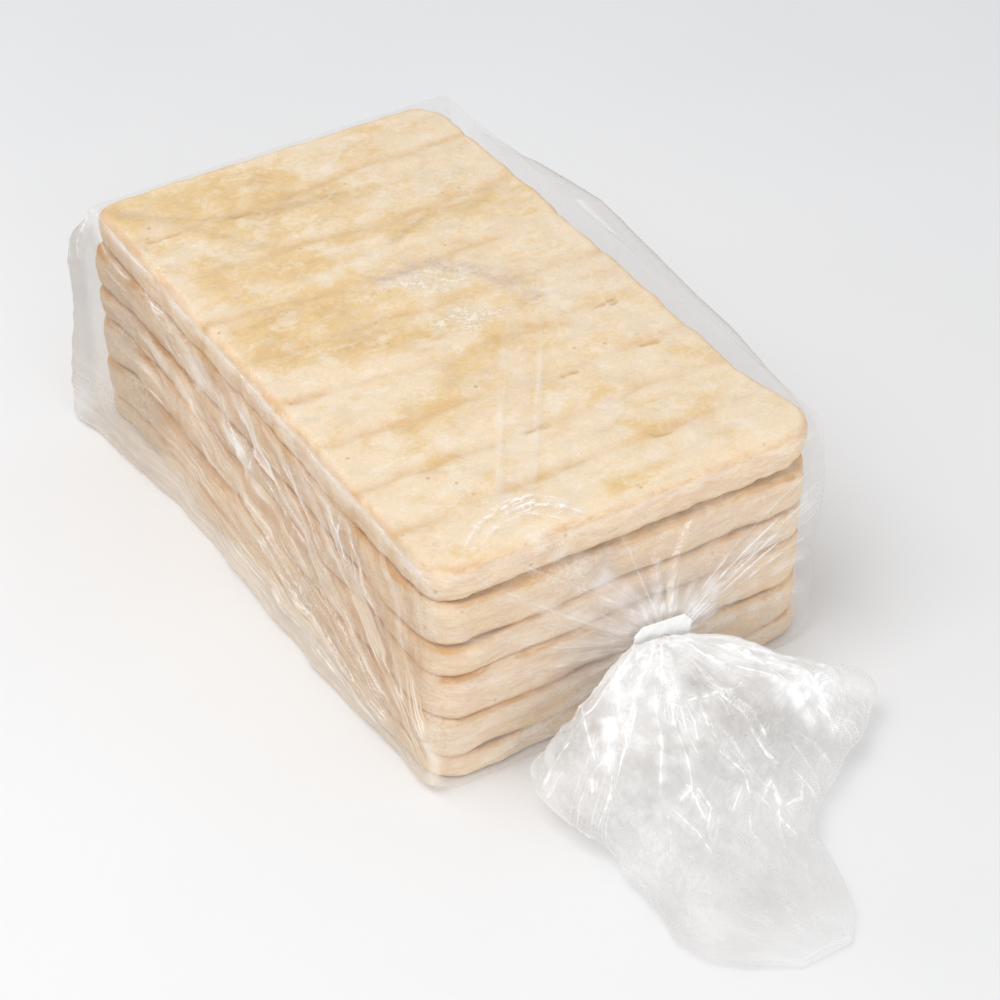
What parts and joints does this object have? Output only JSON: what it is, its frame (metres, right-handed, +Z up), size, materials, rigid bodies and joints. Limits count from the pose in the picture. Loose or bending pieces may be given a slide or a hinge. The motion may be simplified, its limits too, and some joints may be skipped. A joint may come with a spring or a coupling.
{
  "type": "bag of breadsticks",
  "caption": "Clear bag of flat breadstick sheets, stacked, each baked as joined fingers, the bag's gathered mouth shut with a flat clip and its loose tail lying in front.",
  "frame": {"origin": "middle of the bottom sheet's underside, on the surface that the pack rests on", "axes": "+Z up through the stack, +Y from the clip to the far end, +X across the pack, along each breadstick"},
  "size_m": [0.223, 0.4553, 0.111],
  "materials": {
    "film": "thin clear plastic film, glossy, creased",
    "crust": null,
    "clip_plastic": "satin white moulded plastic"
  },
  "bodies": {
    "root": {"bag": "film", "clip": "clip_plastic"}
  },
  "joints": []
}
